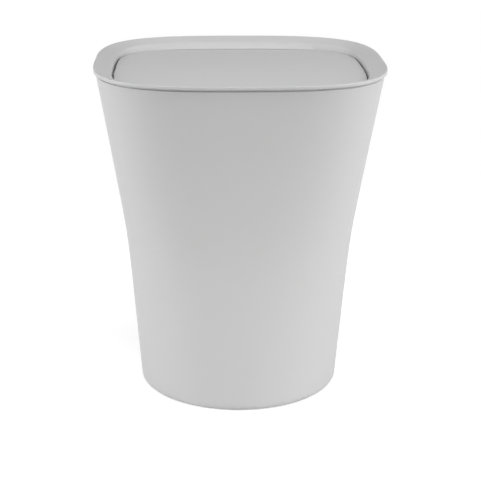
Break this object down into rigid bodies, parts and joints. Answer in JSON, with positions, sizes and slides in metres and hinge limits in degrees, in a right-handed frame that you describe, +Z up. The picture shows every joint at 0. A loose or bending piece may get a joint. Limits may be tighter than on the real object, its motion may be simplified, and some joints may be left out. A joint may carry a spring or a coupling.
{
  "type": "swing-lid bin",
  "caption": "Free-standing waste bin with a round foot, a soft square mouth, a lift-off lid frame with a sloping deck, and a swing flap that hangs on pins and levels itself.",
  "frame": {"origin": "middle of the foot, on the surface that the bin stands on", "axes": "+Z up, +X along the flap's pivot axis to the right, -Y towards the front"},
  "size_m": [0.26, 0.26, 0.306],
  "materials": {
    "body_plastic": "satin",
    "lid_plastic": "satin",
    "bush_plastic": "satin",
    "steel": "satin"
  },
  "bodies": {
    "bucket": {"bucket": "body_plastic"},
    "lid": {"lid_frame": "lid_plastic", "pivot_bush_right": "bush_plastic", "pivot_bush_left": "bush_plastic"},
    "flap": {"flap_panel": "lid_plastic", "flap_underside": "lid_plastic", "counterweight": "steel", "pivot_pin_right": "steel", "pivot_pin_left": "steel", "underside_screws": "steel"}
  },
  "joints": [
    {"name": "lift_lid", "type": "slide", "parent": "bucket", "child": "lid", "axis": [0, 0, 1], "range_m": [0, 0.13]},
    {"name": "swing_flap", "type": "hinge", "parent": "lid", "child": "flap", "pos_m": [0, 0, 0.2915], "axis": [1, 0, 0], "range_deg": [-75, 75]}
  ]
}
